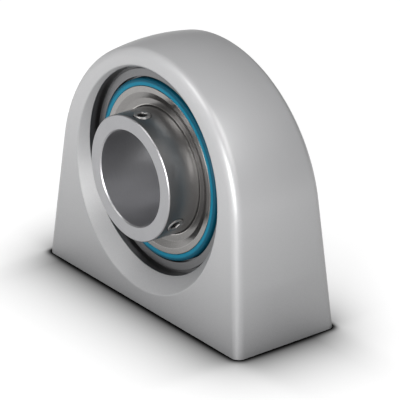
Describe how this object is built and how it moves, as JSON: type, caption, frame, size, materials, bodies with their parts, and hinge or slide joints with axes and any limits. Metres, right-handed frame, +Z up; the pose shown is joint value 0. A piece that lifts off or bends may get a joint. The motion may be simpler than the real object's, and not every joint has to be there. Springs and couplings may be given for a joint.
{
  "type": "pillow block bearing",
  "caption": "Arched pillow block housing with a tapped base and a self-aligning ball bearing insert, locked to its shaft by grub screws in an extended collar.",
  "frame": {"origin": "middle of the flat underside of the base, below the centre of the bearing", "axes": "+Z up from the base, +Y along the shaft from the collar side to the plain side, +X along the base"},
  "size_m": [0.0976, 0.0412, 0.0822],
  "materials": {
    "housing_paint": "smooth light grey coat, satin",
    "ring_steel": "ground bearing steel",
    "ball_steel": "polished bearing steel",
    "cage_nylon": "glass-filled nylon",
    "seal_rubber": "smooth blue rubber",
    "sheet_steel": "pressed sheet steel",
    "screw_steel": "blackened steel"
  },
  "bodies": {
    "housing": {"housing": "housing_paint"},
    "outer_race": {"outer_ring": "ring_steel", "seal_front": "seal_rubber", "seal_back": "seal_rubber", "seal_plate_front": "sheet_steel", "seal_plate_back": "sheet_steel"},
    "inner_race": {"inner_ring": "ring_steel", "flinger_front": "sheet_steel", "flinger_back": "sheet_steel"},
    "cage": {"cage": "cage_nylon"},
    "ball_1": {"ball_1": "ball_steel"},
    "ball_2": {"ball_2": "ball_steel"},
    "ball_3": {"ball_3": "ball_steel"},
    "ball_4": {"ball_4": "ball_steel"},
    "ball_5": {"ball_5": "ball_steel"},
    "ball_6": {"ball_6": "ball_steel"},
    "ball_7": {"ball_7": "ball_steel"},
    "ball_8": {"ball_8": "ball_steel"},
    "ball_9": {"ball_9": "ball_steel"},
    "grub_screw_1": {"grub_screw_1": "screw_steel"},
    "grub_screw_2": {"grub_screw_2": "screw_steel"}
  },
  "joints": [
    {"name": "swivel", "type": "hinge", "parent": "housing", "child": "outer_race", "pos_m": [0, 0, 0.0429], "axis": [1, 0, 0], "range_deg": [-5, 5]},
    {"name": "shaft_spin", "type": "hinge", "parent": "outer_race", "child": "inner_race", "pos_m": [0, 0, 0.0429], "axis": [0, 1, 0], "continuous": true},
    {"name": "cage_spin", "type": "hinge", "parent": "outer_race", "child": "cage", "pos_m": [0, 0, 0.0429], "axis": [0, 1, 0], "continuous": true},
    {"name": "ball_1_spin", "type": "hinge", "parent": "cage", "child": "ball_1", "pos_m": [0.02303, 0, 0.0429], "axis": [0, 1, 0], "continuous": true},
    {"name": "ball_2_spin", "type": "hinge", "parent": "cage", "child": "ball_2", "pos_m": [0.01764, 0, 0.0577], "axis": [0, 1, 0], "continuous": true},
    {"name": "ball_3_spin", "type": "hinge", "parent": "cage", "child": "ball_3", "pos_m": [0.004, 0, 0.06558], "axis": [0, 1, 0], "continuous": true},
    {"name": "ball_4_spin", "type": "hinge", "parent": "cage", "child": "ball_4", "pos_m": [-0.01151, 0, 0.06284], "axis": [0, 1, 0], "continuous": true},
    {"name": "ball_5_spin", "type": "hinge", "parent": "cage", "child": "ball_5", "pos_m": [-0.02164, 0, 0.05078], "axis": [0, 1, 0], "continuous": true},
    {"name": "ball_6_spin", "type": "hinge", "parent": "cage", "child": "ball_6", "pos_m": [-0.02164, 0, 0.03503], "axis": [0, 1, 0], "continuous": true},
    {"name": "ball_7_spin", "type": "hinge", "parent": "cage", "child": "ball_7", "pos_m": [-0.01151, 0, 0.02296], "axis": [0, 1, 0], "continuous": true},
    {"name": "ball_8_spin", "type": "hinge", "parent": "cage", "child": "ball_8", "pos_m": [0.004, 0, 0.02022], "axis": [0, 1, 0], "continuous": true},
    {"name": "ball_9_spin", "type": "hinge", "parent": "cage", "child": "ball_9", "pos_m": [0.01764, 0, 0.0281], "axis": [0, 1, 0], "continuous": true},
    {"name": "grub_screw_1_travel", "type": "slide", "parent": "inner_race", "child": "grub_screw_1", "axis": [0.0349, 0, 0.9994], "range_m": [-0.0013, 0.0011]},
    {"name": "grub_screw_2_travel", "type": "slide", "parent": "inner_race", "child": "grub_screw_2", "axis": [0.848, 0, -0.5299], "range_m": [-0.0013, 0.0011]}
  ],
  "couplings": [
    {"joint": "cage_spin", "follows": "shaft_spin", "ratio": 0.39658},
    {"joint": "ball_1_spin", "follows": "shaft_spin", "ratio": -2.3139},
    {"joint": "ball_2_spin", "follows": "shaft_spin", "ratio": -2.3139},
    {"joint": "ball_3_spin", "follows": "shaft_spin", "ratio": -2.3139},
    {"joint": "ball_4_spin", "follows": "shaft_spin", "ratio": -2.3139},
    {"joint": "ball_5_spin", "follows": "shaft_spin", "ratio": -2.3139},
    {"joint": "ball_6_spin", "follows": "shaft_spin", "ratio": -2.3139},
    {"joint": "ball_7_spin", "follows": "shaft_spin", "ratio": -2.3139},
    {"joint": "ball_8_spin", "follows": "shaft_spin", "ratio": -2.3139},
    {"joint": "ball_9_spin", "follows": "shaft_spin", "ratio": -2.3139}
  ]
}
